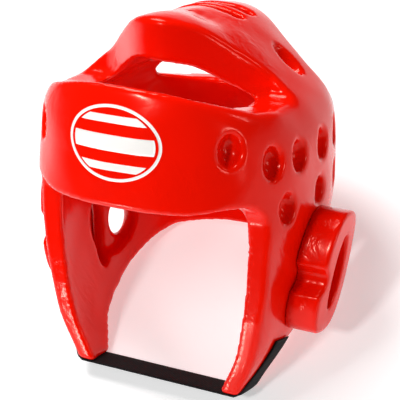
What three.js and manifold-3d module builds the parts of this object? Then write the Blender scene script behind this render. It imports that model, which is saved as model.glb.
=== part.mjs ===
// Taekwondo headgear: a dipped foam shell, two ear cups and a chin strap.
// Units are millimetres. Everything is first laid out as it is worn (front faces -Y, the wearer's
// left is +X, cheek leg tips at z = 0), then turned back as a whole into its pose of rest,
// with the strap's heel edge and the nape edge on z = 0.
import * as THREE from 'three';
import { mergeVertices } from 'three/addons/utils/BufferGeometryUtils.js';
import Module from 'manifold-3d';

const wasm = await Module();
wasm.setup();

// Named sizes of the whole shell, as worn.
const HALF_WIDTH = 101;        // widest half breadth of the shell's outside
const FRONT = 106;             // from the middle of the head to the forehead's outside
const REAR = 111;              // from the middle of the head to the outside of the back
const HEIGHT = 263;            // from the cheek leg tips to the top of the crown
const WALL = 16;               // foam wall of the band, sides and cheeks
const CROWN_WALL = 26;         // foam over the top of the head
const ROUNDNESS = 2.3;         // exponent of the plan outline behind the ears, 2 would be an ellipse

// Edge lines of the shell in the side view, as worn.
const CHEEK_FRONT = 56;        // cheek leg's front rim, forward of the middle of the head
const BROW_HEIGHT = 142;       // lower edge of the forehead band at the front
const BROW_RISE = 4;           // how much higher that edge lies at the cheek legs
const NAPE_HEIGHT = 68;        // where the nape edge meets the surface it rests on
const NAPE_Y = 97;             // the same place, behind the middle of the head
const TIP_Z = -5;              // underside of a leg tip
const TIP_FRONT = 52;          // front corner of a leg tip, forward of the middle of the head
const TIP_HEEL = 28;           // rear corner of a leg tip, forward of the middle of the head
const BROW_CORNER = 18;        // radius between the forehead band and a cheek leg

// Lower rear edge of the side walls, from the tips up to the nape.
const LEG_REAR = [
  // y as a share of REAR, z as a share of HEIGHT
  [-0.108, 0.057], [0.054, 0.103], [0.270, 0.152], [0.477, 0.202], [0.667, 0.240], [0.800, 0.251],
];

// Crown gaps.
const FRONT_EDGE = 48;         // crown's front edge, forward of the middle of the head
const REAR_EDGE = 74;          // crown's rear edge, behind the middle of the head
const PILLAR_FRONT = 2;        // front face of a side pillar, forward of the middle
const PILLAR_REAR = 55;        // rear face of a side pillar, behind the middle
const GAP_HALF = 66;           // half breadth of the curved part of the crown's edges
const SILL_SIDE = 203;         // top edge of the band at the pillars
const GAP_FLOOR = 150;         // the gaps' cutters start here, below both sills

// Top edge of the forehead band and of the rear wall, going away from the pillars.
const FRONT_SILL = [
  // y as a share of FRONT, z as a share of SILL_SIDE
  [-0.283, 1.000], [-0.472, 1.015], [-0.623, 1.044], [-0.792, 1.079], [-0.925, 1.118], [-1.600, 1.123],
];
const REAR_SILL = [
  // y as a share of REAR, z as a share of SILL_SIDE
  [0.405, 1.000], [0.495, 0.961], [0.613, 0.921], [0.793, 0.897], [1.600, 0.877],
];

// Ear cups.
const CUP_PROUD = 21;          // how far a cup stands out from the shell
const CUP_HEIGHT = 91;
const CUP_WIDTH = 48;
const CUP_ROUND = 2.6;         // exponent of the cup's outline
const CUP_Y = 3;               // cup's middle, behind the middle of the head
const CUP_Z = 77;              // cup's middle, above the leg tips
const EAR_LEAN = 0.14;         // cup and slot lean back at the top, in radians
const SLOT_HEIGHT = 54;
const SLOT_WIDTH = 16;
const NOTCH = 10;              // radius of the hollow in a cup's front edge
const NOTCH_OUT = 3;           // the hollow's middle lies this far before the edge
const NOTCH_UP = 4;            // and this far above the cup's middle

// Inside of the ears.
const POCKET_Y = 14;
const POCKET_Z = 80;
const POCKET_WIDTH = 58;
const POCKET_HEIGHT = 52;
const POCKET_DEEP = 6;
const VENT_X = 92;             // the vent's middle in the wall behind the ear
const VENT_Y = 43;
const VENT_Z = 76;
const VENT_WIDTH = 24;
const VENT_HEIGHT = 25;
const VENT_DEEP = 78;          // length of the vent's cutter, well past both faces
const VENT_TURN = 0.6;         // the vent's axis is turned this far to the rear, in radians

// Blind dimples, one of each on both sides.
const DIMPLE_WIDTH = 16;
const DIMPLE_HEIGHT = 22;
const DIMPLE_DEEP = 8;
const DIMPLES = [
  // degrees from the front, height as a share of HEIGHT, size as a share of the named sizes
  [45, 0.707, 1.05],
  [65, 0.656, 1.05], [80, 0.652, 1.00], [95, 0.648, 1.00],
  [112, 0.646, 1.00], [130, 0.646, 1.00], [149, 0.646, 1.00],
  [74, 0.521, 0.95], [93, 0.523, 0.90], [112, 0.525, 0.95],
  [133, 0.529, 0.95], [153, 0.532, 0.95],
];

// The long dimple on the slope of the crown.
const SLOPE_ANGLE = 108;       // degrees from the front
const SLOPE_Z = 222;
const SLOPE_WIDTH = 13;
const SLOPE_LENGTH = 28;
const SLOPE_DEEP = 10;

// Grooves across the top.
const GROOVE_SHARES = [0.250, 0.390];   // their places behind the middle, as shares of REAR
const GROOVE_LENGTH = 56;
const GROOVE_WIDTH = 7;
const GROOVE_FLOOR = 241;

// Chin strap.
const STRAP_WIDTH = 25;
const STRAP_THICK = 1.5;
const STRAP_DIP = 2;           // rear edge of the level stretch lies lower by this
const STRAP_Y = 40;            // strap's middle under the tips, forward of the middle of the head
const STRAP_RISE = 30;         // how far its ends come up the outside of the legs
const STRAP_LEAN = 23;         // how far its ends lie behind its level stretch
const STRAP_SKEW = 3;          // half of how much lower an end's rear corner lies than its front one

const GAP = 0.3;               // clearance between pieces that touch in life
const AROUND = 56;             // facets round the head
const CURVE = 8;               // facets in a quarter of a small round outline
const BEYOND = 60;             // how far a cutter reaches past the shell

// Pose of rest: the line from the strap's rear lower edge to the nape edge becomes level.
const HEEL_Y = STRAP_WIDTH / 2 - STRAP_Y;
const HEEL_Z = TIP_Z - GAP - STRAP_THICK - STRAP_DIP;
const REST_TILT = Math.atan2(NAPE_HEIGHT - HEEL_Z, NAPE_Y - HEEL_Y);

// Rows of the outer surface from below the tips to the crown.
// width, front and rear are shares of the named half breadth, front and rear lengths; round is
// the exponent of the plan outline before the ears; side, fore and aft are heights as shares of
// HEIGHT; drop is the share of CROWN_WALL by which the inside lies lower than the outside.
const ROWS = [
  // width, front, rear, round, side, fore, aft, drop
  [0.640, 0.960, 0.800, 3.0, -0.060, -0.060, -0.060, 0.00],
  [0.705, 0.970, 0.830, 3.1, 0.000, 0.000, 0.000, 0.00],
  [0.830, 0.985, 0.890, 3.2, 0.106, 0.106, 0.106, 0.00],
  [0.895, 1.000, 0.945, 3.2, 0.228, 0.228, 0.228, 0.00],
  [0.945, 1.000, 0.980, 3.0, 0.361, 0.361, 0.361, 0.00],
  [0.990, 1.000, 1.000, 2.5, 0.494, 0.494, 0.494, 0.00],
  [0.990, 0.995, 1.000, 2.3, 0.627, 0.660, 0.627, 0.00],
  [0.965, 0.970, 0.995, 2.3, 0.700, 0.805, 0.725, 0.20],
  [0.890, 0.925, 0.955, 2.3, 0.755, 0.875, 0.795, 0.45],
  [0.745, 0.770, 0.880, 2.3, 0.808, 0.938, 0.848, 0.65],
  [0.605, 0.590, 0.790, 2.3, 0.852, 0.972, 0.900, 0.80],
  [0.460, 0.430, 0.680, 2.3, 0.903, 0.990, 0.940, 0.92],
  [0.290, 0.230, 0.470, 2.3, 0.945, 0.990, 0.962, 1.00],
];
const APEX = 0.976;            // height of the crown's middle as a share of HEIGHT

function manifoldOf(geometry) {
  const bare = geometry.index ? geometry.toNonIndexed() : geometry.clone();
  for (const name of Object.keys(bare.attributes)) {
    if (name !== 'position') bare.deleteAttribute(name);
  }
  const merged = mergeVertices(bare, 1e-4);
  const mesh = new wasm.Mesh({
    numProp: 3,
    vertProperties: new Float32Array(merged.attributes.position.array),
    triVerts: new Uint32Array(merged.index.array),
  });
  return new wasm.Manifold(mesh);
}

function geometryOf(solid) {
  const mesh = solid.getMesh();
  const geometry = new THREE.BufferGeometry();
  geometry.setAttribute('position', new THREE.BufferAttribute(new Float32Array(mesh.vertProperties), 3));
  geometry.setIndex(new THREE.BufferAttribute(new Uint32Array(mesh.triVerts), 1));
  geometry.computeVertexNormals();
  return geometry;
}

// Closed skin over rings of points, each ring going round counter-clockwise seen from the last ring's
// side; a ring's ends are closed by a fan about the ring's middle.
function loftGeometry(rings) {
  const around = rings[0].length;
  const points = rings.flat();
  const faces = [];
  for (let row = 0; row < rings.length - 1; row += 1) {
    for (let i = 0; i < around; i += 1) {
      const a = row * around + i;
      const b = row * around + (i + 1) % around;
      faces.push(a, b, b + around, a, b + around, a + around);
    }
  }
  const first = points.length;
  points.push(middleOf(rings[0]), middleOf(rings[rings.length - 1]));
  const top = (rings.length - 1) * around;
  for (let i = 0; i < around; i += 1) {
    const next = (i + 1) % around;
    faces.push(first, next, i, first + 1, top + i, top + next);
  }
  const geometry = new THREE.BufferGeometry().setFromPoints(points);
  geometry.setIndex(faces);
  return geometry;
}

function middleOf(ring) {
  const sum = new THREE.Vector3();
  for (const point of ring) sum.add(point);
  return sum.divideScalar(ring.length);
}

// A point of the head-shaped surface: angle runs from the front over the wearer's left,
// grow moves the surface outward and sink takes the share of the inside's drop.
function ringPoint(row, angle, grow, sink) {
  const [width, front, rear, round, side, fore, aft, drop] = row;
  const forward = Math.cos(angle);
  const length = forward > 0 ? FRONT * front : REAR * rear;
  const rise = forward > 0 ? fore : aft;
  const power = 2 / (forward > 0 ? round : ROUNDNESS);
  const across = Math.sign(Math.sin(angle)) * Math.abs(Math.sin(angle)) ** power;
  const along = Math.sign(forward) * Math.abs(forward) ** power;
  const share = side + (rise - side) * forward * forward;
  return new THREE.Vector3(
    (HALF_WIDTH * width + grow) * across,
    -(length + grow) * along,
    HEIGHT * share - sink * CROWN_WALL * drop,
  );
}

function headSolid(grow, sink) {
  const rings = ROWS.map((row) => {
    const ring = [];
    for (let i = 0; i < AROUND; i += 1) {
      ring.push(ringPoint(row, (2 * Math.PI * i) / AROUND, grow, sink));
    }
    return ring;
  });
  const geometry = loftGeometry(rings);
  const position = geometry.attributes.position;
  position.setZ(position.count - 1, HEIGHT * APEX - sink * CROWN_WALL);
  return manifoldOf(geometry);
}

// A solid that is a shape drawn out by deep.
function drawnOut(shape, deep) {
  return new THREE.ExtrudeGeometry(shape, { depth: deep, bevelEnabled: false, curveSegments: CURVE });
}

// A prism whose outline is drawn in the side view (y, z), reaching from x = from to x = to.
function sidePrism(shape, from = -HALF_WIDTH - BEYOND, to = HALF_WIDTH + BEYOND) {
  const geometry = drawnOut(shape, to - from);
  geometry.rotateZ(Math.PI / 2).rotateY(Math.PI / 2).translate(from, 0, 0);
  return manifoldOf(geometry);
}

// A prism whose outline is drawn in the top view (x, y), reaching from z = from over the top.
function planPrism(shape, from) {
  return manifoldOf(drawnOut(shape, HEIGHT + BEYOND - from).translate(0, 0, from));
}

const shapeOf = (pairs) => new THREE.Shape(pairs.map(([a, b]) => new THREE.Vector2(a, b)));

// Side view of what the shell keeps: the face is open in front of the cheek legs, and the
// lower edge sweeps from the tips up to the nape.
function sideOutline() {
  const back = REAR + BEYOND;
  const ahead = -FRONT - BEYOND;
  const outline = [
    [-TIP_FRONT, TIP_Z], [-TIP_HEEL, TIP_Z - STRAP_DIP],
    ...LEG_REAR.map(([y, z]) => [REAR * y, HEIGHT * z]),
    [NAPE_Y, NAPE_HEIGHT], [back, NAPE_HEIGHT + (back - NAPE_Y) * Math.tan(REST_TILT)],
    [back, HEIGHT + BEYOND], [ahead, HEIGHT + BEYOND],
    [ahead, BROW_HEIGHT], [-FRONT * 0.9, BROW_HEIGHT + 1], [-FRONT * 0.77, BROW_HEIGHT + BROW_RISE],
  ];
  for (let step = 0; step <= CURVE; step += 1) {
    const turn = (Math.PI / 2) * (step / CURVE);
    outline.push([
      -CHEEK_FRONT - BROW_CORNER * (1 - Math.sin(turn)),
      BROW_HEIGHT + BROW_RISE - BROW_CORNER * (1 - Math.cos(turn)),
    ]);
  }
  outline.push([-CHEEK_FRONT, BROW_HEIGHT * 0.4]);
  return shapeOf(outline);
}

// Plan view of a crown gap: everything between the crown's curved edge and the outside. At the
// share s of its half breadth, the edge lies (1 - s^2) / (1 + s^2) of the way from the pillars.
function gapPlan(edge, pillar, sign) {
  const far = sign * (REAR + BEYOND);
  const wide = HALF_WIDTH + BEYOND;
  const steps = 18;
  const outline = [];
  for (let step = 0; step <= steps; step += 1) {
    const share = (2 * step) / steps - 1;
    const bulge = (1 - share * share) / (1 + share * share);
    outline.push([GAP_HALF * share, sign * (pillar + (edge - pillar) * bulge)]);
  }
  outline.push([wide, sign * pillar], [wide, far], [-wide, far], [-wide, sign * pillar]);
  return shapeOf(sign > 0 ? outline.reverse() : outline);
}

// Side view of what lies over a sill.
function overSill(sill, length, start) {
  const outline = sill.map(([y, z]) => [length * y, SILL_SIDE * z]);
  const last = outline[outline.length - 1][0];
  return shapeOf([[start, SILL_SIDE], ...outline, [last, HEIGHT + BEYOND], [start, HEIGHT + BEYOND]]);
}

function crownGaps() {
  const front = planPrism(gapPlan(FRONT_EDGE, PILLAR_FRONT, -1), GAP_FLOOR);
  const rear = planPrism(gapPlan(REAR_EDGE, PILLAR_REAR, 1), GAP_FLOOR);
  return front.intersect(sidePrism(overSill(FRONT_SILL, FRONT, 0)))
    .add(rear.intersect(sidePrism(overSill(REAR_SILL, REAR, PILLAR_REAR * 0.5))));
}

// An upright oval in the side view, leaning back at the top; at the share t of a turn a superellipse
// has cos(t)^(2/power) and sin(t)^(2/power).
function leaningOval(y, z, width, height, power) {
  const outline = [];
  const corners = 4 * CURVE;
  for (let step = 0; step < corners; step += 1) {
    const turn = (2 * Math.PI * step) / corners;
    const across = (width / 2) * Math.sign(Math.cos(turn)) * Math.abs(Math.cos(turn)) ** (2 / power);
    const up = (height / 2) * Math.sign(Math.sin(turn)) * Math.abs(Math.sin(turn)) ** (2 / power);
    outline.push([
      y + across * Math.cos(EAR_LEAN) + up * Math.sin(EAR_LEAN),
      z - across * Math.sin(EAR_LEAN) + up * Math.cos(EAR_LEAN),
    ]);
  }
  return shapeOf(outline);
}

function ovalShape(y, z, width, height) {
  const shape = new THREE.Shape();
  shape.absellipse(y, z, width / 2, height / 2, 0, 2 * Math.PI, false, 0);
  return shape;
}

const outside = headSolid(0, 0);
const inside = headSolid(-WALL, 1);
const slotShape = leaningOval(CUP_Y, CUP_Z, SLOT_WIDTH, SLOT_HEIGHT, 2);

// A blind hollow: an ellipsoid set on the outer skin, its axes across, up and into the foam.
function dimple(angle, height, size) {
  const turn = THREE.MathUtils.degToRad(angle);
  const geometry = new THREE.SphereGeometry(size, 14, 10);
  geometry.scale(DIMPLE_WIDTH / 2, DIMPLE_DEEP, DIMPLE_HEIGHT / 2);
  const middle = skinPoint(turn, height);
  geometry.rotateZ(turn).translate(middle.x, middle.y, middle.z);
  return manifoldOf(geometry);
}

// Point of the outer skin at an angle and a height.
function skinPoint(angle, height) {
  for (let row = 1; row < ROWS.length; row += 1) {
    const low = ringPoint(ROWS[row - 1], angle, 0, 0);
    const high = ringPoint(ROWS[row], angle, 0, 0);
    if (height <= high.z) return low.lerp(high, (height - low.z) / (high.z - low.z));
  }
  return new THREE.Vector3(0, 0, height);
}

// The long dimple on the slope of the crown, its long axis running up the slope.
function slopeDimple(side) {
  const geometry = new THREE.SphereGeometry(1, 14, 10);
  const middle = skinPoint(side * THREE.MathUtils.degToRad(SLOPE_ANGLE), SLOPE_Z);
  geometry.scale(SLOPE_DEEP, SLOPE_WIDTH / 2, SLOPE_LENGTH / 2).rotateY(-side * Math.PI / 4);
  geometry.translate(middle.x, middle.y, middle.z);
  return manifoldOf(geometry);
}

function dimples() {
  let solid = slopeDimple(1).add(slopeDimple(-1));
  for (const [angle, height, size] of DIMPLES) {
    for (const side of [1, -1]) {
      solid = solid.add(dimple(side * angle, HEIGHT * height, size));
    }
  }
  return solid;
}

// Shallow grooves across the top of the crown, flat at the bottom.
function topGrooves() {
  const round = GROOVE_WIDTH / 2;
  const half = GROOVE_LENGTH / 2 - round;
  return wasm.Manifold.union(GROOVE_SHARES.map((share) => {
    const shape = new THREE.Shape();
    shape.absarc(half, REAR * share, round, -Math.PI / 2, Math.PI / 2, false);
    shape.absarc(-half, REAR * share, round, Math.PI / 2, (3 * Math.PI) / 2, false);
    return planPrism(shape, GROOVE_FLOOR);
  }));
}

// Round the inside of each ear: a shallow pocket in the lining side of the wall, and behind it
// an oval vent through the wall.
function earHollows() {
  const pocket = sidePrism(ovalShape(POCKET_Y, POCKET_Z, POCKET_WIDTH, POCKET_HEIGHT));
  const vent = ovalShape(0, 0, VENT_WIDTH, VENT_HEIGHT);
  let solid = pocket.intersect(headSolid(POCKET_DEEP - WALL, 0));
  for (const side of [1, -1]) {
    const geometry = drawnOut(vent, VENT_DEEP).translate(0, 0, -VENT_DEEP / 2);
    geometry.rotateX(Math.PI / 2).rotateZ(Math.PI + side * (VENT_TURN - Math.PI / 2));
    geometry.translate(side * VENT_X, VENT_Y, VENT_Z);
    solid = solid.add(manifoldOf(geometry));
  }
  return solid;
}

function foamShell() {
  return outside.subtract(inside)
    .intersect(sidePrism(sideOutline()))
    .subtract(crownGaps())
    .subtract(sidePrism(slotShape))
    .subtract(earHollows())
    .subtract(dimples())
    .subtract(topGrooves());
}

// An ear cup lies on the shell and has its slot, and a rounded hollow half way up its front edge.
function earCup(sign) {
  const inner = sign * (HALF_WIDTH - BEYOND);
  const outer = sign * (HALF_WIDTH + BEYOND);
  const reach = [Math.min(inner, outer), Math.max(inner, outer)];
  const front = CUP_Y - CUP_WIDTH / 2 - NOTCH_OUT;
  return sidePrism(leaningOval(CUP_Y, CUP_Z, CUP_WIDTH, CUP_HEIGHT, CUP_ROUND), ...reach)
    .intersect(headSolid(CUP_PROUD, 0))
    .subtract(headSolid(GAP, 0))
    .subtract(sidePrism(slotShape, ...reach))
    .subtract(sidePrism(ovalShape(front, CUP_Z + NOTCH_UP, 2 * NOTCH, 2 * NOTCH), ...reach));
}

// The strap lies on the outside of both legs, leaning back as it rises, and runs flat under the tips.
function chinStrap() {
  const top = TIP_Z - GAP;
  const under = top - STRAP_THICK;
  const fore = -STRAP_Y - STRAP_WIDTH / 2;
  const aft = fore + STRAP_WIDTH;
  const level = [[fore, under], [aft, under - STRAP_DIP], [aft, top - STRAP_DIP], [fore, top]];
  const side = sidePrism(shapeOf([
    ...level.slice(0, 3),
    [aft + STRAP_LEAN, STRAP_RISE - STRAP_SKEW], [fore + STRAP_LEAN, STRAP_RISE + STRAP_SKEW],
    level[3],
  ]));
  const flat = sidePrism(shapeOf(level));
  const over = headSolid(GAP + STRAP_THICK, 0);
  const climbing = over.subtract(headSolid(GAP, 0)).intersect(side);
  return climbing.add(over.intersect(flat));
}

function vinyl(color, roughness) {
  return new THREE.MeshStandardMaterial({ color, roughness, metalness: 0 });
}

const pieces = [
  ['foam_shell', foamShell(), vinyl('#e01400', 0.25)],
  ['ear_cup_left', earCup(1), vinyl('#e01400', 0.25)],
  ['ear_cup_right', earCup(-1), vinyl('#e01400', 0.25)],
  ['chin_strap', chinStrap(), vinyl('#101012', 0.8)],
];

const headgear = new THREE.Group();
for (const [name, solid, material] of pieces) {
  const geometry = geometryOf(solid).rotateX(-REST_TILT);
  const mesh = new THREE.Mesh(geometry, material);
  mesh.name = name;
  headgear.add(mesh);
}

// The whole is centred over the origin and stands on z = 0.
const bounds = new THREE.Box3().setFromObject(headgear);
const centre = bounds.getCenter(new THREE.Vector3());
for (const mesh of headgear.children) {
  mesh.geometry.translate(-centre.x, -centre.y, -bounds.min.z);
}

export default headgear;
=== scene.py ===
import math
import bpy
import numpy as np
from mathutils import Matrix, Vector


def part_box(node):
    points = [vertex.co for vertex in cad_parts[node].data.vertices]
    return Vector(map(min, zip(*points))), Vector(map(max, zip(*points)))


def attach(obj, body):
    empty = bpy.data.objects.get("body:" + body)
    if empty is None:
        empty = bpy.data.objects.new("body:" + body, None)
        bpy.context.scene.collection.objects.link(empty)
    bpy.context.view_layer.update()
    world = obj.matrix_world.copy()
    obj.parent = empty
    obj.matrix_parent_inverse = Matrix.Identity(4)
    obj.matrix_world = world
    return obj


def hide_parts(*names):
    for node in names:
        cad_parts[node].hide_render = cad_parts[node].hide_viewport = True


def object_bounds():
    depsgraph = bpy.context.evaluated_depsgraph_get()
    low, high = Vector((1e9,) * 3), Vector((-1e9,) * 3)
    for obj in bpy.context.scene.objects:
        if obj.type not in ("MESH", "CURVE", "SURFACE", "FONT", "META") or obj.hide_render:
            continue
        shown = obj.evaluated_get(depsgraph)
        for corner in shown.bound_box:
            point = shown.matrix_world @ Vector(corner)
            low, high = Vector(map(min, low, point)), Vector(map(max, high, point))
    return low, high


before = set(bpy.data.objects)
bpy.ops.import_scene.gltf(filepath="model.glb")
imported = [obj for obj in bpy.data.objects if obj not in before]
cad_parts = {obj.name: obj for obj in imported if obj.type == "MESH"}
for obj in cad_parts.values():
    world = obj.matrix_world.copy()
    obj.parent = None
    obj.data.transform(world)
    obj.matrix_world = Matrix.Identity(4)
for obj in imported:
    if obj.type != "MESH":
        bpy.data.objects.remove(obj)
cad_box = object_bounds()

# Camera
# The headgear is worked out as it is worn (front at -Y, tips of the cheek legs at z = 0), the way the
# photograph shows it, and then laid back into the pose in which it rests, camera and all.
REST_TILT = math.atan2(0.0768, 0.1245)
REST_SHIFT = np.array([0.0, -0.072357491, -0.006948212])
VIEW_AZIMUTH = math.radians(28.3)
VIEW_ELEVATION = math.radians(20.0)
VIEW_DISTANCE = 1.0909
VIEW_TARGET = np.array([0.009, 0.0, 0.117])
LENS_MM = 135.0
SENSOR_MM = 36.0


def to_rest(points):
    """Worn position to resting position: y' = y cos t + z sin t, z' = z cos t - y sin t, then a shift."""
    p = np.asarray(points, float)
    y = p[..., 1] * math.cos(REST_TILT) + p[..., 2] * math.sin(REST_TILT)
    z = p[..., 2] * math.cos(REST_TILT) - p[..., 1] * math.sin(REST_TILT)
    return np.stack([p[..., 0], y, z], -1) + REST_SHIFT


def to_worn(points):
    """Resting position to worn position, the other way round."""
    p = np.asarray(points, float) - REST_SHIFT
    y = p[..., 1] * math.cos(REST_TILT) - p[..., 2] * math.sin(REST_TILT)
    z = p[..., 2] * math.cos(REST_TILT) + p[..., 1] * math.sin(REST_TILT)
    return np.stack([p[..., 0], y, z], -1)


view_right = np.array([math.cos(VIEW_AZIMUTH), math.sin(VIEW_AZIMUTH), 0.0])
view_back = np.array([
    math.sin(VIEW_AZIMUTH) * math.cos(VIEW_ELEVATION),
    -math.cos(VIEW_AZIMUTH) * math.cos(VIEW_ELEVATION),
    math.sin(VIEW_ELEVATION),
])
view_up = np.cross(view_back, view_right)
eye = to_rest(VIEW_TARGET + VIEW_DISTANCE * view_back)
axes = [to_rest(axis) - to_rest(np.zeros(3)) for axis in (view_right, view_up, view_back)]
camera_data = bpy.data.cameras.new("camera")
camera_data.lens = LENS_MM
camera_data.sensor_width = SENSOR_MM
camera_data.clip_start = 0.05
camera = bpy.data.objects.new("camera", camera_data)
bpy.context.scene.collection.objects.link(camera)
camera.matrix_world = Matrix((
    (axes[0][0], axes[1][0], axes[2][0], eye[0]),
    (axes[0][1], axes[1][1], axes[2][1], eye[1]),
    (axes[0][2], axes[1][2], axes[2][2], eye[2]),
    (0.0, 0.0, 0.0, 1.0),
))
bpy.context.scene.camera = camera
bpy.context.scene.view_settings.view_transform = "Standard"

# Foam shell
# One moulding of closed-cell foam, dipped in liquid vinyl so that every edge is rounded over by a
# glossy skin: forehead band, crown with its two open gaps, side walls, cheek legs and nape.
HALF_WIDTH = 0.101
FRONT = 0.106
REAR = 0.111
HEIGHT = 0.263
WALL = 0.016
CROWN_WALL = 0.026
ROUNDNESS = 2.3
TIP_Z = -0.005
TIP_FRONT = 0.052
TIP_HEEL = 0.028
CHEEK_FRONT = 0.056
BROW_HEIGHT = 0.142
BROW_RISE = 0.004
BROW_CORNER = 0.018
BROW_DIP = 0.001
BROW_MIDDLE = 0.9
BROW_RISEN = 0.77
LEG_BEND = 0.4
NAPE_HEIGHT = 0.068
NAPE_Y = 0.097
FRONT_EDGE = 0.048
REAR_EDGE = 0.074
PILLAR_FRONT = 0.002
PILLAR_REAR = 0.055
GAP_HALF = 0.066
SILL_SIDE = 0.203
BEYOND = 0.060
STRAP_DIP = 0.002

# The wall thickens to that of the crown between these heights.
CROWN_FROM = 0.185
CROWN_FULL = 0.232

# Roundings of the shell's edges, of the crown gaps' edges and corners, and of the hollows.
SKIN_ROUND = 0.002
EDGE_ROUND = 0.003
GAP_ROUND = 0.0035
GAP_CORNER = 0.012
HOLLOW_ROUND = 0.003
SLOT_ROUND = 0.004
POCKET_ROUND = 0.005

# Unevenness of the dip, its mean wave length and how far that varies, and the contour's grid.
SAG = 0.0003
SAG_LENGTH = 0.041
SAG_SPREAD = 0.012
GRID = 0.0019
MARGIN = 0.004

# Ear: sound slot, the hollow inside the wall behind it, and the vent through the wall; breadth, height.
EAR_Y = 0.003
EAR_Z = 0.077
EAR_LEAN = 0.14
SLOT = (0.016, 0.054)
POCKET = (0.050, 0.052)
POCKET_MIDDLE = (0.016, 0.082)
POCKET_DEEP = 0.006
VENT = (0.018, 0.026)
VENT_MIDDLE = (0.092, 0.040, 0.076)
VENT_TURN = 0.6
VENT_REACH = 0.040

# Rows of the outer surface: width, front and rear as shares of the named lengths, round is the plan
# outline's exponent before the ears, side, fore and aft are heights as shares of HEIGHT.
ROWS = np.array([
    # width, front, rear, round, side, fore, aft
    [0.640, 0.960, 0.800, 3.0, -0.060, -0.060, -0.060],
    [0.705, 0.970, 0.830, 3.1, 0.000, 0.000, 0.000],
    [0.830, 0.985, 0.890, 3.2, 0.106, 0.106, 0.106],
    [0.895, 1.000, 0.945, 3.2, 0.228, 0.228, 0.228],
    [0.945, 1.000, 0.980, 3.0, 0.361, 0.361, 0.361],
    [0.990, 1.000, 1.000, 2.5, 0.494, 0.494, 0.494],
    [0.990, 0.995, 1.000, 2.3, 0.627, 0.660, 0.627],
    [0.965, 0.970, 0.995, 2.3, 0.700, 0.805, 0.725],
    [0.890, 0.925, 0.955, 2.3, 0.755, 0.875, 0.795],
    [0.745, 0.770, 0.880, 2.3, 0.808, 0.938, 0.848],
    [0.605, 0.590, 0.790, 2.3, 0.852, 0.972, 0.900],
    [0.460, 0.430, 0.680, 2.3, 0.903, 0.990, 0.940],
    [0.290, 0.230, 0.470, 2.3, 0.945, 0.990, 0.962],
    [0.010, 0.010, 0.010, 2.3, 0.976, 0.976, 0.976],
])

# Edges of the shell in the side view: y as shares of REAR or FRONT, z of HEIGHT or SILL_SIDE.
LEG_REAR = [(-0.108, 0.057), (0.054, 0.103), (0.270, 0.152), (0.477, 0.202), (0.667, 0.240), (0.800, 0.251)]
FRONT_SILL = [
    (-0.283, 1.000), (-0.472, 1.015), (-0.623, 1.044), (-0.792, 1.079), (-0.925, 1.118), (-1.6, 1.123),
]
REAR_SILL = [(0.405, 1.000), (0.495, 0.961), (0.613, 0.921), (0.793, 0.897), (1.6, 0.877)]

# Blind dimples: degrees from the front, height as a share of HEIGHT, size as a share of the named sizes.
DIMPLE_WIDTH = 0.016
DIMPLE_HEIGHT = 0.022
DIMPLE_DEEP = 0.0095
DIMPLES = [
    (45, 0.707, 1.05),
    (65, 0.656, 1.05), (80, 0.652, 1.00), (95, 0.648, 1.00),
    (112, 0.646, 1.00), (130, 0.646, 1.00), (149, 0.646, 1.00),
    (74, 0.521, 0.95), (93, 0.523, 0.90), (112, 0.525, 0.95),
    (133, 0.529, 0.95), (153, 0.532, 0.95),
]
SLOPE_ANGLE = 108
SLOPE_Z = 0.222
SLOPE_WIDTH = 0.013
SLOPE_LENGTH = 0.028
SLOPE_DEEP = 0.010
GROOVE_SHARES = (0.250, 0.390)
GROOVE_LENGTH = 0.056
GROOVE_WIDTH = 0.007
GROOVE_FLOOR = 0.241


def rgb(code):
    """sRGB hex code to linear red, green, blue and alpha."""
    parts = [int(code[i:i + 2], 16) / 255 for i in (1, 3, 5)]
    return [c / 12.92 if c <= 0.04045 else ((c + 0.055) / 1.055) ** 2.4 for c in parts] + [1.0]


def node(tree, kind, settings=None, links=None):
    """Add a shader node: settings are attribute or input values, links are input name to output socket."""
    made = tree.nodes.new(kind)
    for key, value in (settings or {}).items():
        if isinstance(key, str) and hasattr(made, key):
            setattr(made, key, value)
        else:
            made.inputs[key].default_value = value
    for key, output in (links or {}).items():
        tree.links.new(output, made.inputs[key])
    return made


def blank_material(name):
    """A material with an output node and nothing else."""
    made = bpy.data.materials.new(name)
    made.use_nodes = True
    made.node_tree.nodes.clear()
    return made, made.node_tree


def dense(rows, count):
    """Rows resampled to count rows along a curve that passes through each (Catmull-Rom)."""
    at = np.linspace(0, len(rows) - 1, count)
    i = np.clip(at.astype(int), 0, len(rows) - 2)
    t = (at - i)[:, None]
    pick = [rows[np.clip(i + k, 0, len(rows) - 1)] for k in (-1, 0, 1, 2)]
    return 0.5 * (2 * pick[1] + (pick[2] - pick[0]) * t
                  + (2 * pick[0] - 5 * pick[1] + 4 * pick[2] - pick[3]) * t ** 2
                  + (3 * pick[1] - pick[0] - 3 * pick[2] + pick[3]) * t ** 3)


def step(low, high, value):
    """Smooth step: 0 below low, 1 above high, 3t^2 - 2t^3 between."""
    t = np.clip((value - low) / (high - low), 0, 1)
    return t * t * (3 - 2 * t)


def smax(a, b, k):
    """Larger of two distances, with the corner between them rounded over a width k."""
    h = np.maximum(k - np.abs(a - b), 0) / k
    return np.maximum(a, b) + h * h * k / 4


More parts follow.
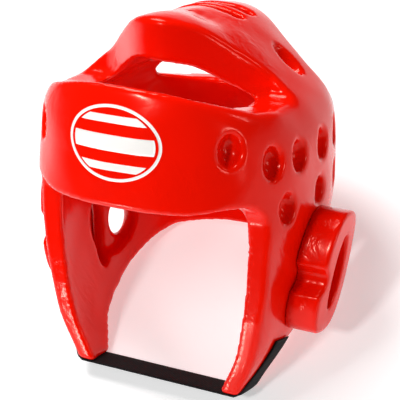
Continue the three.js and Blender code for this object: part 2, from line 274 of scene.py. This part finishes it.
def outside(x, y, z):
    """Distance from the outer surface, positive outside.

    Each row's outline at the point's direction gives a height; where the point's height falls between
    two rows, its plan distance is (r - 1) times the local radius, and the height of the crown above
    its plan place gives the upright distance. Both together give F G / sqrt(F^2 + G^2)."""
    rows = dense(ROWS, 53)
    ahead = y < 0
    level = np.full(np.broadcast(x, y, z).shape, np.nan)
    crown = np.full(np.broadcast(x, y).shape, np.nan)
    radius = np.hypot(x, y)
    before = None
    for width, front, rear, bend, side, fore, aft in rows:
        power = np.where(ahead, bend, ROUNDNESS)
        length = np.where(ahead, FRONT * front, REAR * rear)
        along = np.abs(y / length) ** power
        whole = np.abs(x / (HALF_WIDTH * width)) ** power + along + 1e-12
        share = along / whole
        top = HEIGHT * (side + (np.where(ahead, fore, aft) - side) * share)
        reach = whole ** (1 / power)
        away = radius * (1 - 1 / reach)
        if before is None:
            level = np.where(z <= top, away, level)
        else:
            last_top, last_away, last_reach = before
            mix = (z - last_top) / np.maximum(top - last_top, 1e-6)
            between = (z > last_top) & (z <= top)
            level = np.where(between, last_away + (away - last_away) * mix, level)
            if side > 0.5:
                crossed = (last_reach <= 1) & (reach > 1)
                part = (1 - last_reach) / np.maximum(reach - last_reach, 1e-9)
                crown = np.where(crossed, last_top + (top - last_top) * part, crown)
        before = (top, away, reach)
    upright = z - np.where(np.isnan(crown), -1.0, crown)
    level = np.where(np.isnan(level), 1.0, level)
    steep = np.abs(level) / np.maximum(np.abs(upright), 1e-6)
    joined = level / np.sqrt(1 + steep ** 2)
    joined = np.where(level >= 1.0, upright, joined)
    return np.where((upright > 0) == (level > 0), joined, np.where(upright > 0, upright, level))


def polygon(u, v, corners):
    """Distance from a closed outline in a plane, negative inside."""
    corners = np.array(corners, float)
    best = np.full(np.broadcast(u, v).shape, 1e9)
    inside = np.zeros(best.shape, bool)
    for a, b in zip(corners, np.roll(corners, -1, 0)):
        du, dv = b - a
        t = np.clip(((u - a[0]) * du + (v - a[1]) * dv) / (du * du + dv * dv), 0, 1)
        best = np.minimum(best, np.hypot(u - a[0] - t * du, v - a[1] - t * dv))
        if dv:
            crossing = (v > min(a[1], b[1])) & (v <= max(a[1], b[1]))
            inside ^= crossing & (u < a[0] + (v - a[1]) * du / dv)
    return np.where(inside, -best, best)


def oval(u, v, middle, size, lean=0.0, power=2.0):
    """Distance from a superellipse |p/a|^n + |q/b|^n = 1 of the given breadth and height, leaning."""
    a, b = u - middle[0], v - middle[1]
    p = np.abs(a * math.cos(lean) + b * math.sin(lean)) * 2 / size[0]
    q = np.abs(b * math.cos(lean) - a * math.sin(lean)) * 2 / size[1]
    whole = np.maximum(p ** power + q ** power, 1e-9)
    r = whole ** (1 / power)
    slope = np.hypot(p ** (power - 1) * 2 / size[0], q ** (power - 1) * 2 / size[1])
    return (r - 1) / np.maximum(slope * whole ** (1 / power - 1), 1e-6)


def side_outline():
    """The shell's edges in the side view, as corners of a closed outline (y, z)."""
    back, ahead, over = REAR + BEYOND, -FRONT - BEYOND, HEIGHT + BEYOND
    turns = np.linspace(0, math.pi / 2, 9)
    corner = [(-CHEEK_FRONT - BROW_CORNER * (1 - math.sin(t)),
               BROW_HEIGHT + BROW_RISE - BROW_CORNER * (1 - math.cos(t))) for t in turns]
    return [
        (-TIP_FRONT, TIP_Z), (-TIP_HEEL, TIP_Z - STRAP_DIP),
        *[(REAR * y, HEIGHT * z) for y, z in LEG_REAR],
        (NAPE_Y, NAPE_HEIGHT), (back, NAPE_HEIGHT + (back - NAPE_Y) * math.tan(REST_TILT)),
        (back, over), (ahead, over), (ahead, BROW_HEIGHT), (-FRONT * BROW_MIDDLE, BROW_HEIGHT + BROW_DIP),
        (-FRONT * BROW_RISEN, BROW_HEIGHT + BROW_RISE), *corner, (-CHEEK_FRONT, BROW_HEIGHT * LEG_BEND),
    ]


def over_sill(sill, length, start):
    """What lies over a sill in the side view, as corners of a closed outline (y, z)."""
    line = [(length * y, SILL_SIDE * z) for y, z in sill]
    return [(start, SILL_SIDE), *line, (line[-1][0], HEIGHT + BEYOND), (start, HEIGHT + BEYOND)]


def gap_edge(x, y, edge, pillar, sign):
    """Plan distance from a crown gap, negative in it. The gap lies beyond the line
    pillar + (edge - pillar)(1 - s^2)/(1 + s^2), where s is x as a share of GAP_HALF."""
    s = np.clip(x / GAP_HALF, -1, 1)
    line = pillar + (edge - pillar) * (1 - s * s) / (1 + s * s)
    slope = (edge - pillar) / GAP_HALF * 4 * np.abs(s) / (1 + s * s) ** 2
    return (line - sign * y) / np.sqrt(1 + np.where(np.abs(s) < 1, slope, 0) ** 2)


def skin_point(angle, height):
    """Point of the outer surface at an angle from the front and a height."""
    rows = dense(ROWS, 53)
    forward = math.cos(angle)
    last = None
    for width, front, rear, bend, side, fore, aft in rows:
        power = 2 / (bend if forward > 0 else ROUNDNESS)
        length = FRONT * front if forward > 0 else REAR * rear
        point = np.array([
            HALF_WIDTH * width * math.copysign(abs(math.sin(angle)) ** power, math.sin(angle)),
            -length * math.copysign(abs(forward) ** power, forward),
            HEIGHT * (side + ((fore if forward > 0 else aft) - side) * forward ** 2),
        ])
        if last is not None and height <= point[2]:
            return last + (point - last) * (height - last[2]) / (point[2] - last[2])
        last = point
    return last


def ellipsoid(x, y, z, middle, frame_axes, radii):
    """Distance from an ellipsoid with the given axes and half axes, negative inside."""
    d = [x - middle[0], y - middle[1], z - middle[2]]
    parts = [(d[0] * a[0] + d[1] * a[1] + d[2] * a[2]) / r for a, r in zip(frame_axes, radii)]
    r = np.sqrt(parts[0] ** 2 + parts[1] ** 2 + parts[2] ** 2)
    slope = np.sqrt((parts[0] / radii[0]) ** 2 + (parts[1] / radii[1]) ** 2 + (parts[2] / radii[2]) ** 2)
    return (r - 1) * r / np.maximum(slope, 1e-6)


def uneven(x, y, z):
    """Slow unevenness of the dip, about -1 to 1: a third of the sum of nine sines whose directions and
    wave lengths, 29 to 53 mm, come from a seeded table."""
    table = np.random.default_rng(7).normal(size=(9, 5))
    total = 0.0
    for a, b, c, length, phase in table:
        size = 2 * math.pi / (SAG_LENGTH + SAG_SPREAD * math.tanh(length)) / math.sqrt(a * a + b * b + c * c)
        total = total + np.sin(size * (a * x + b * y + c * z) + 3 * phase)
    return total / 3


def shell_distance(x, y, z):
    """Distance from the dipped foam shell, negative in the foam."""
    side = np.abs(x)
    d_out = outside(x, y, z)
    thick = WALL + (CROWN_WALL - WALL) * step(CROWN_FROM, CROWN_FULL, z)
    body = smax(d_out, -(d_out + thick), SKIN_ROUND)
    body = body + SAG * uneven(x, y, z)
    body = smax(body, polygon(y, z, side_outline()), EDGE_ROUND)
    front_gap = smax(gap_edge(x, y, FRONT_EDGE, PILLAR_FRONT, -1),
                     polygon(y, z, over_sill(FRONT_SILL, FRONT, 0.0)), GAP_CORNER)
    rear_gap = smax(gap_edge(x, y, REAR_EDGE, PILLAR_REAR, 1),
                    polygon(y, z, over_sill(REAR_SILL, REAR, PILLAR_REAR / 2)), GAP_CORNER)
    body = smax(body, -front_gap, GAP_ROUND)
    body = smax(body, -rear_gap, GAP_ROUND)
    body = smax(body, -oval(y, z, (EAR_Y, EAR_Z), SLOT, -EAR_LEAN), SLOT_ROUND)
    pocket = smax(oval(y, z, POCKET_MIDDLE, POCKET), d_out + WALL - POCKET_DEEP, SLOT_ROUND)
    body = smax(body, -pocket, POCKET_ROUND)
    out = (side - VENT_MIDDLE[0], y - VENT_MIDDLE[1])
    along = out[0] * math.cos(VENT_TURN) + out[1] * math.sin(VENT_TURN)
    across = out[1] * math.cos(VENT_TURN) - out[0] * math.sin(VENT_TURN)
    vent = smax(oval(across, z, (0.0, VENT_MIDDLE[2]), VENT), -along - VENT_REACH, SKIN_ROUND)
    body = smax(body, -vent, POCKET_ROUND)
    for angle, height, size in DIMPLES:
        turn = math.radians(angle)
        out_axis = (math.sin(turn), -math.cos(turn), 0.0)
        wide_axis = (math.cos(turn), math.sin(turn), 0.0)
        half_axes = (size * DIMPLE_WIDTH / 2, size * DIMPLE_HEIGHT / 2, size * DIMPLE_DEEP)
        middle = skin_point(turn, HEIGHT * height)
        hollow = ellipsoid(side, y, z, middle, (wide_axis, (0, 0, 1), out_axis), half_axes)
        body = smax(body, -hollow, HOLLOW_ROUND)
    half = math.sqrt(0.5)
    hollow = ellipsoid(side, y, z, skin_point(math.radians(SLOPE_ANGLE), SLOPE_Z),
                       ((0, 1, 0), (-half, 0, half), (half, 0, half)),
                       (SLOPE_WIDTH / 2, SLOPE_LENGTH / 2, SLOPE_DEEP))
    body = smax(body, -hollow, HOLLOW_ROUND)
    for share in GROOVE_SHARES:
        reach = (GROOVE_LENGTH - GROOVE_WIDTH) / 2
        end = np.hypot(np.maximum(side - reach, 0), y - REAR * share) - GROOVE_WIDTH / 2
        body = smax(body, -smax(end, GROOVE_FLOOR - z, HOLLOW_ROUND), HOLLOW_ROUND)
    return body


def contour(distance, low, high, grid):
    """Surface where distance is zero: one point in each cell that it crosses, at the mean of its edge
    crossings, and one four-sided face round each grid edge that it crosses."""
    counts = [int(math.ceil((h - l) / grid)) + 1 for l, h in zip(low, high)]
    lines = [l + grid * np.arange(n) for l, n in zip(low, counts)]
    value = np.empty(counts)
    for i in range(0, counts[0], 8):
        block = np.stack(np.meshgrid(lines[0][i:i + 8], lines[1], lines[2], indexing="ij"), -1)
        worn = to_worn(block)
        value[i:i + 8] = distance(worn[..., 0], worn[..., 1], worn[..., 2])
    value[value == 0] = 1e-9
    cells = [n - 1 for n in counts]
    total = np.zeros(cells + [3])
    hits = np.zeros(cells)
    for axis in range(3):
        others = [k for k in range(3) if k != axis]
        for p in (0, 1):
            for q in (0, 1):
                start = [0, 0, 0]
                start[others[0]], start[others[1]] = p, q
                a = value[tuple(slice(s, s + c) for s, c in zip(start, cells))]
                start[axis] = 1
                b = value[tuple(slice(s, s + c) for s, c in zip(start, cells))]
                cross = (a < 0) != (b < 0)
                part = np.where(cross, a / np.where(cross, a - b, 1), 0)
                total[..., axis] += part
                total[..., others[0]] += cross * p
                total[..., others[1]] += cross * q
                hits += cross
    used = hits > 0
    number = np.full(cells, -1)
    number[used] = np.arange(used.sum())
    place = np.argwhere(used) + total[used] / hits[used][:, None]
    points = np.array(low) + place * grid
    faces = []
    for axis in range(3):
        u, v = (axis + 1) % 3, (axis + 2) % 3
        near = [slice(None)] * 3
        far = [slice(None)] * 3
        near[axis], far[axis] = slice(0, -1), slice(1, None)
        a, b = value[tuple(near)], value[tuple(far)]
        at = np.argwhere((a < 0) != (b < 0))
        at = at[(at[:, u] > 0) & (at[:, v] > 0) & (at[:, u] < cells[u]) & (at[:, v] < cells[v])]
        ring = []
        for du, dv in ((-1, -1), (0, -1), (0, 0), (-1, 0)):
            cell = at.copy()
            cell[:, u] += du
            cell[:, v] += dv
            ring.append(number[tuple(cell.T)])
        ring = np.stack(ring, 1)
        leaving = a[tuple(at.T)] < 0
        ring[~leaving] = ring[~leaving][:, ::-1]
        faces.append(ring)
    return points, np.concatenate(faces)


def relax(points, faces, rounds):
    """Even out the grid's steps: each point moves 0.52 of the way to the mean of its neighbours, then
    0.54 of the way back from their new mean, so that the form doesn't shrink."""
    pairs = np.concatenate([faces[:, [k, (k + 1) % 4]] for k in range(4)])
    degree = np.bincount(pairs[:, 0], minlength=len(points))[:, None]
    for k in range(2 * rounds):
        mean = np.stack([
            np.bincount(pairs[:, 0], points[pairs[:, 1], c], len(points)) for c in range(3)], 1)
        points = points + (0.52 if k % 2 == 0 else -0.54) * (mean / degree - points)
    return points


def mesh_object(name, points, faces, material, smooth=True):
    """A mesh object from arrays of points and faces, all faces with the same number of corners."""
    mesh = bpy.data.meshes.new(name)
    faces = np.asarray(faces)
    corners = faces.shape[1]
    mesh.vertices.add(len(points))
    mesh.vertices.foreach_set("co", np.asarray(points, float).ravel())
    mesh.loops.add(faces.size)
    mesh.loops.foreach_set("vertex_index", faces.ravel())
    mesh.polygons.add(len(faces))
    mesh.polygons.foreach_set("loop_start", np.arange(len(faces)) * corners)
    mesh.polygons.foreach_set("loop_total", np.full(len(faces), corners))
    mesh.update(calc_edges=True)
    mesh.polygons.foreach_set("use_smooth", np.full(len(faces), smooth))
    mesh.materials.append(material)
    made = bpy.data.objects.new(name, mesh)
    bpy.context.scene.collection.objects.link(made)
    return made


def dipped_vinyl(name, colour):
    """Vinyl skin left by dipping: thick gloss over an even red, a little uneven where it ran and set."""
    made, tree = blank_material(name)
    place = node(tree, "ShaderNodeTexCoord")
    where = {"Vector": place.outputs["Object"]}
    # Runs about 30 mm apart, which bend the soft edges of the reflections.
    runs = node(tree, "ShaderNodeTexNoise", {"Scale": 32.0, "Detail": 2.0, "Roughness": 0.45}, where)
    # Fine upright creases about 9 mm apart, only where a second, wider noise is high.
    drawn = node(tree, "ShaderNodeMapping", {"Scale": (1.0, 1.0, 0.3)}, where)
    creases = node(tree, "ShaderNodeTexNoise", {
        "Scale": 110.0, "Detail": 3.0, "Roughness": 0.55, "Distortion": 0.6,
    }, {"Vector": drawn.outputs["Vector"]})
    patches = node(tree, "ShaderNodeTexNoise", {"Scale": 18.0, "Detail": 1.0}, where)
    kept = node(tree, "ShaderNodeMapRange", {"From Min": 0.46, "From Max": 0.62},
                {"Value": patches.outputs["Fac"]})
    creased = node(tree, "ShaderNodeMath", {"operation": "MULTIPLY"},
                   {0: creases.outputs["Fac"], 1: kept.outputs["Result"]})
    # A barely visible orange peel, 2 to 3 mm.
    grain = node(tree, "ShaderNodeTexNoise", {"Scale": 420.0, "Detail": 2.0, "Roughness": 0.5}, where)
    run_bump = node(tree, "ShaderNodeBump", {"Strength": 0.30, "Distance": 0.0012},
                    {"Height": runs.outputs["Fac"]})
    crease_bump = node(tree, "ShaderNodeBump", {"Strength": 0.55, "Distance": 0.0011},
                       {"Height": creased.outputs["Value"], "Normal": run_bump.outputs["Normal"]})
    grain_bump = node(tree, "ShaderNodeBump", {"Strength": 0.05, "Distance": 0.0003},
                      {"Height": grain.outputs["Fac"], "Normal": crease_bump.outputs["Normal"]})
    skin = node(tree, "ShaderNodeBsdfPrincipled", {
        "Base Color": rgb(colour), "Roughness": 0.16, "IOR": 1.50,
        "Specular IOR Level": 0.34, "Specular Tint": rgb("#FFB4A4"),
    }, {"Normal": grain_bump.outputs["Normal"]})
    node(tree, "ShaderNodeOutputMaterial", links={"Surface": skin.outputs["BSDF"]})
    return made


# The skin's red is strong and clean; the gloss gives the soft pale windows seen on the band.
vinyl = dipped_vinyl("dipped vinyl skin", "#F01000")
grid = GRID * 1.0
shell_low = [c - MARGIN for c in cad_box[0]]
shell_high = [c + MARGIN for c in cad_box[1]]
shell_points, shell_faces = contour(shell_distance, shell_low, shell_high, grid)
shell_points = relax(shell_points, shell_faces, 4)
shell = mesh_object("dipped_shell", shell_points, shell_faces, vinyl)
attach(shell, "root")
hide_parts("foam_shell")

# Emblem
# A plain white print on the forehead band, pressed on as a thin flexible film: an oval ring round
# three level bars.
EMBLEM = (0.070, 0.052)
EMBLEM_Z = 0.1885
EMBLEM_RING = 0.0021
FILM = 0.0002
# The search for the band's face starts this far before it and ends three times as far behind.
SEARCH = 0.007
# Level bars: middle above the oval's middle, as a share of its half height, and thickness likewise.
BARS = [(0.62, 0.20), (0.0, 0.42), (-0.62, 0.20)]


def on_band(s, t):
    """Places on the band's outside for shares s and t of the emblem's half breadth and half height:
    x and z are plain multiples, and y is found by halving a search along Y."""
    x = s * EMBLEM[0] / 2
    z = EMBLEM_Z + t * EMBLEM[1] / 2
    near, far = np.full(x.shape, -FRONT - SEARCH), np.full(x.shape, -FRONT + 3 * SEARCH)
    for _ in range(22):
        y = (near + far) / 2
        inside = shell_distance(x, y, z) < 0
        near, far = np.where(inside, near, y), np.where(inside, y, far)
    return np.stack([x, y, z], -1)


def film(name, s, t, loop):
    """Closed film over a grid of shares: an outer sheet, the same sheet let into the skin, and an edge
    all round. With loop, the grid's first axis closes on itself."""
    skin = on_band(s, t)
    out = skin * np.array([1.0, 1.0, 0.0])
    out = out / np.linalg.norm(out, axis=-1, keepdims=True)
    points = np.concatenate([(skin + FILM * out).reshape(-1, 3), (skin - 3 * FILM * out).reshape(-1, 3)])
    n, m = s.shape
    front = np.arange(n * m).reshape(n, m)
    if loop:
        front = np.concatenate([front, front[:1]])
    back = front + n * m

    def strips(grid, turned):
        quads = np.stack([grid[:-1, :-1], grid[1:, :-1], grid[1:, 1:], grid[:-1, 1:]], -1).reshape(-1, 4)
        return quads[:, ::-1] if turned else quads

    def edge(a, b):
        return np.stack([a[:-1], b[:-1], b[1:], a[1:]], -1)

    faces = [strips(front, False), strips(back, True), edge(front[:, 0], back[:, 0])[:, ::-1],
             edge(front[:, -1], back[:, -1])]
    if not loop:
        faces += [edge(front[0], back[0]), edge(front[-1], back[-1])[:, ::-1]]
    made = mesh_object(name, to_rest(points), np.concatenate(faces), print_white)
    face = np.arange(len(made.data.polygons))
    made.data.polygons.foreach_set("use_smooth", face < (n - (not loop)) * (m - 1))
    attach(made, "root")
    return made


# White printing film: clean white, a little duller than the skin under it.
print_white, tree = blank_material("white vinyl print")
film_skin = node(tree, "ShaderNodeBsdfPrincipled", {
    "Base Color": rgb("#F6F2EE"), "Roughness": 0.25, "IOR": 1.5})
node(tree, "ShaderNodeOutputMaterial", links={"Surface": film_skin.outputs["BSDF"]})
turn, depth = np.meshgrid(np.linspace(0, 2 * math.pi, 97)[:-1], np.linspace(0, 1, 4), indexing="ij")
ring_s = np.cos(turn) * (1 - depth * 2 * EMBLEM_RING / EMBLEM[0])
ring_t = np.sin(turn) * (1 - depth * 2 * EMBLEM_RING / EMBLEM[1])
film("emblem_ring", ring_s, ring_t, True)
for number, (height, thick) in enumerate(BARS):
    level_t = np.linspace(height - thick / 2, height + thick / 2, 9)
    clear = 1 - 4 * EMBLEM_RING / EMBLEM[0]
    half_s = clear * np.sqrt(np.maximum(1 - (level_t / clear) ** 2, 0.01))
    bar_s = np.linspace(-1, 1, 41)[:, None] * half_s[None, :]
    bar_t = np.broadcast_to(level_t[None, :], bar_s.shape)
    film("emblem_bar_%d" % (number + 1), bar_s, bar_t, False)

# Ear cups
# Thick oval bosses of the same dipped foam, glued over the ears; each has an upright slot for sound
# and a rounded hollow half way up its front edge.
CUP_PROUD = 0.0245
CUP_LIFT = 0.003
CUP_LEAN = 0.18
CUP = (0.048, 0.091)
CUP_ROUND = 2.6
NOTCH = 0.010
NOTCH_OUT = 0.003
NOTCH_UP = 0.004
CUP_EDGE = 0.0028
NOTCH_ROUND = 0.004
SLOT_SHIFT = 0.001
SLOT_EDGE = 0.003
CUP_GLUE = 0.0003
GLUE_ROUND = 0.0005
CUP_GRID = 0.0011


def cup_distance(x, y, z):
    """Distance from an ear cup on the wearer's left, negative in the foam."""
    d_out = outside(x, y, z)
    wall = oval(y, z, (EAR_Y, EAR_Z + CUP_LIFT), CUP, -CUP_LEAN, CUP_ROUND)
    notch = np.hypot(y - (EAR_Y - CUP[0] / 2 - NOTCH_OUT), z - EAR_Z - NOTCH_UP) - NOTCH
    wall = smax(wall, -notch, NOTCH_ROUND)
    body = smax(wall, d_out - CUP_PROUD, CUP_EDGE)
    slot = oval(y, z, (EAR_Y + SLOT_SHIFT, EAR_Z + CUP_LIFT), SLOT, -CUP_LEAN)
    body = smax(body, -slot, SLOT_EDGE)
    return smax(body, CUP_GLUE - d_out, GLUE_ROUND)


cup_low, cup_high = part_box("ear_cup_left")
cup_points, cup_faces = contour(
    cup_distance, [c - 2 * MARGIN for c in cup_low], [c + 2 * MARGIN for c in cup_high],
    CUP_GRID * (1.0))
cup_points = relax(cup_points, cup_faces, 3)
for name, sign in (("ear_cup_left", 1), ("ear_cup_right", -1)):
    points = cup_points * np.array([sign, 1, 1])
    cup = mesh_object("dipped_" + name, points, cup_faces[:, ::sign], vinyl)
    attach(cup, "root")
    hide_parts(name)

# Chin strap
# Flat black nylon webbing, one length that runs under both leg tips and up the outside of each leg,
# where its ends are fastened down.
STRAP_WIDTH = 0.023
STRAP_THICK = 0.0015
STRAP_Y = 0.040
STRAP_RISE = 0.030
STRAP_LEAN = 0.023
STRAP_SKEW = 0.003
STRAP_GAP = 0.0003
STRAP_BEND = 0.004
STRAP_ROWS = 24
STRAP_ACROSS = 13
SELVEDGE_THIN = 0.35


def shell_half_width(y, z):
    """Half breadth of the outer surface at a height z and a place y before the ears."""
    rows = dense(ROWS, 53)
    width, front, bend = (np.interp(z, rows[:, 4] * HEIGHT, rows[:, k]) for k in (0, 1, 3))
    return HALF_WIDTH * width * np.maximum(1 - np.abs(y / (FRONT * front)) ** bend, 0) ** (1 / bend)


def strap_path(count):
    """Rows along the strap from its left end, under the tips, to its right end: for each, the height
    share of the climb (0 in the level stretch) and the place across as a share of the level stretch."""
    climb = np.linspace(1, 0, count)
    level = np.linspace(1, -1, 2 * count)[1:-1]
    return climb, level


climb, level = strap_path(STRAP_ROWS)
share = np.linspace(-0.5, 0.5, STRAP_ACROSS)
rows = []
for inner in (True, False):
    sheet = []
    for c in climb:
        z = TIP_Z - STRAP_GAP - STRAP_DIP * (share + 0.5) * (1 - c)
        z = z + (STRAP_RISE - 2 * STRAP_SKEW * share - z) * c
        y = -STRAP_Y + STRAP_WIDTH * share + STRAP_LEAN * c
        x = shell_half_width(y, z) + STRAP_GAP + (0 if inner else STRAP_THICK)
        low = np.clip(STRAP_BEND - (z - TIP_Z + STRAP_DIP * (share + 0.5)), 0, STRAP_BEND)
        x = x - STRAP_BEND + np.sqrt(STRAP_BEND ** 2 - low ** 2)
        if not inner:
            z = z - STRAP_THICK * (1 - c) ** 6
        sheet.append(np.stack([x, y, z], 1))
    foot = sheet[-1]
    for t in level:
        sheet.append(foot * np.array([t, 1, 1]))
    sheet += [row * np.array([-1, 1, 1]) for row in sheet[:STRAP_ROWS][::-1]]
    rows.append(np.array(sheet))
inner_sheet, outer_sheet = rows
edge = 1 - np.abs(2 * share) ** 8 * SELVEDGE_THIN
middle_sheet = (inner_sheet + outer_sheet) / 2
half_sheet = (outer_sheet - inner_sheet) / 2 * edge[None, :, None]
section = np.concatenate([middle_sheet - half_sheet, (middle_sheet + half_sheet)[:, ::-1]], 1)
count, around = section.shape[:2]
strap_points = to_rest(section.reshape(-1, 3))
index = np.arange(count * around).reshape(count, around)
along_row, next_row = index[:-1], index[1:]
quads = np.stack([along_row, np.roll(along_row, -1, 1), np.roll(next_row, -1, 1), next_row], -1)
quads = quads.reshape(-1, 4)
half = around // 2
ends = []
for row, turn in ((index[0], 1), (index[-1], -1)):
    pairs = np.stack([row[:half - 1], row[1:half], row[::-1][1:half], row[::-1][:half - 1]], 1)
    ends.append(pairs[:, ::turn])
strap_faces = np.concatenate([quads, *ends])

# Nylon webbing: near black, dull, with the fine ribs of its weave across the strap.
webbing, tree = blank_material("nylon webbing")
place = node(tree, "ShaderNodeTexCoord")
weave = node(tree, "ShaderNodeTexWave", {"wave_type": "BANDS", "bands_direction": "X", "Scale": 190.0},
             {"Vector": place.outputs["Object"]})
ribs = node(tree, "ShaderNodeBump", {"Strength": 0.5, "Distance": 0.0002}, {"Height": weave.outputs["Fac"]})
cloth = node(tree, "ShaderNodeBsdfPrincipled", {
    "Base Color": rgb("#0A0A0C"), "Roughness": 0.85, "IOR": 1.45, "Specular IOR Level": 0.3,
}, {"Normal": ribs.outputs["Normal"]})
node(tree, "ShaderNodeOutputMaterial", links={"Surface": cloth.outputs["BSDF"]})
strap = mesh_object("chin_webbing", strap_points, strap_faces, webbing)
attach(strap, "root")
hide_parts("chin_strap")

# Floor
# A plain pale studio floor: matt paper laid over a softly lit table.

# Matt paper: dull, and a little bright of itself, so that it stays white beside the red.
made, tree = blank_material("matt studio paper")
paper = node(tree, "ShaderNodeBsdfPrincipled", {
    "Base Color": rgb("#DCDCDC"), "Roughness": 0.9,
    "Emission Color": rgb("#FFFFFF"), "Emission Strength": 0.45})
node(tree, "ShaderNodeOutputMaterial", links={"Surface": paper.outputs["BSDF"]})
corners = [(-4, -4, 0), (4, -4, 0), (4, 4, 0), (-4, 4, 0)]
floor = mesh_object("floor", corners, [(0, 1, 2, 3)], made, smooth=False)

# Light
# Five soft boxes, the largest overhead and towards the back, the others low at the front left, on the
# right and high in front, in a dim room. The large one gives the pale windows on the band and the crown.
world = bpy.data.worlds.new("room")
bpy.context.scene.world = world
world.use_nodes = True
world.node_tree.nodes["Background"].inputs["Color"].default_value = (1.0, 1.0, 1.0, 1.0)
world.node_tree.nodes["Background"].inputs["Strength"].default_value = 0.05
middle = Vector(to_rest(np.array([0.0, 0.0, 0.13])))
LAMPS = [
    # x, y and z from the object's middle, breadth, height, power
    (-0.42, 0.36, 1.20, 0.50, 0.75, 19.0),
    (-0.36, -0.82, -0.08, 0.18, 0.07, 2.0),
    (1.00, 0.55, 0.45, 0.10, 0.30, 1.0),
    (1.15, -0.30, 0.30, 0.16, 0.30, 2.2),
    (-0.20, -0.95, 1.00, 0.16, 0.16, 8.0),
]
for x, y, z, breadth, tall, power in LAMPS:
    lamp = bpy.data.lights.new("soft_box", "AREA")
    lamp.shape = "RECTANGLE"
    lamp.size, lamp.size_y, lamp.energy = breadth, tall, power
    box = bpy.data.objects.new("soft_box", lamp)
    bpy.context.scene.collection.objects.link(box)
    box.location = middle + Vector((x, y, z))
    box.rotation_euler = Vector((x, y, z)).to_track_quat("Z", "Y").to_euler()
